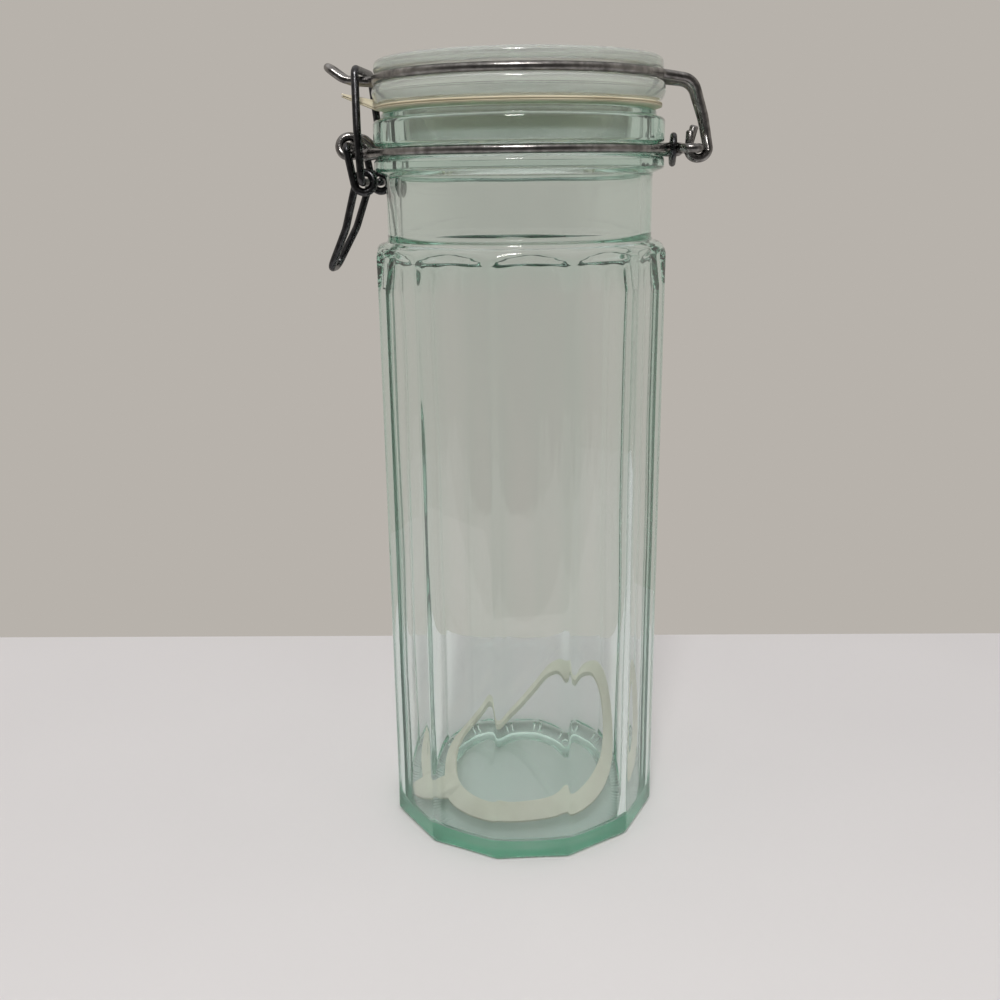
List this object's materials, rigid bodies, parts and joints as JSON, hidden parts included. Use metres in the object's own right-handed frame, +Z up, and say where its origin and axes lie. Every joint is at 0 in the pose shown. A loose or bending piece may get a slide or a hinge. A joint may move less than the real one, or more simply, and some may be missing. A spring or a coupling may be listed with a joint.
{
  "type": "lidded glass canister",
  "caption": "Tall twelve-sided green glass canister with a round glass lid, rubber seal and clip-down wire closure; a spare seal lies inside.",
  "frame": {"origin": "on the jar's axis, at the level of the ring it stands on", "axes": "+Z up the jar's axis, +X towards the lid's hinge, -X towards the catch and lever; every pivot runs along Y"},
  "size_m": [0.1303, 0.0994, 0.2693],
  "materials": {
    "jar_glass": "gloss, pale green, moulded",
    "lid_glass": "gloss, pale grey-green, moulded",
    "seal_rubber": "satin cream rubber",
    "spare_rubber": "satin off-white rubber",
    "hoop_wire": "worn galvanised wire",
    "lever_wire": "dark tarnished wire"
  },
  "bodies": {
    "jar": {"jar": "jar_glass", "neck_wire": "hoop_wire", "hinge_collar": "hoop_wire", "spare_seal": "spare_rubber"},
    "lid": {"lid": "lid_glass", "seal": "seal_rubber", "lid_wire": "hoop_wire"},
    "lever": {"lever": "lever_wire"},
    "link": {"link": "lever_wire"}
  },
  "joints": [
    {"name": "lid_swing", "type": "hinge", "parent": "jar", "child": "lid", "pos_m": [0.0593, 0, 0.2407], "axis": [0, 1, 0], "range_deg": [0, 180]},
    {"name": "lever_swing", "type": "hinge", "parent": "jar", "child": "lever", "pos_m": [-0.0556, 0, 0.2427], "axis": [0, 1, 0], "range_deg": [0, 150], "deforming": ["link"]},
    {"name": "link_swing", "type": "hinge", "parent": "lever", "child": "link", "pos_m": [-0.0502, 0, 0.2312], "axis": [0, 1, 0], "range_deg": [-180, 0]}
  ],
  "couplings": [
    {"joint": "link_swing", "follows": "lever_swing", "ratio": -1.2}
  ]
}
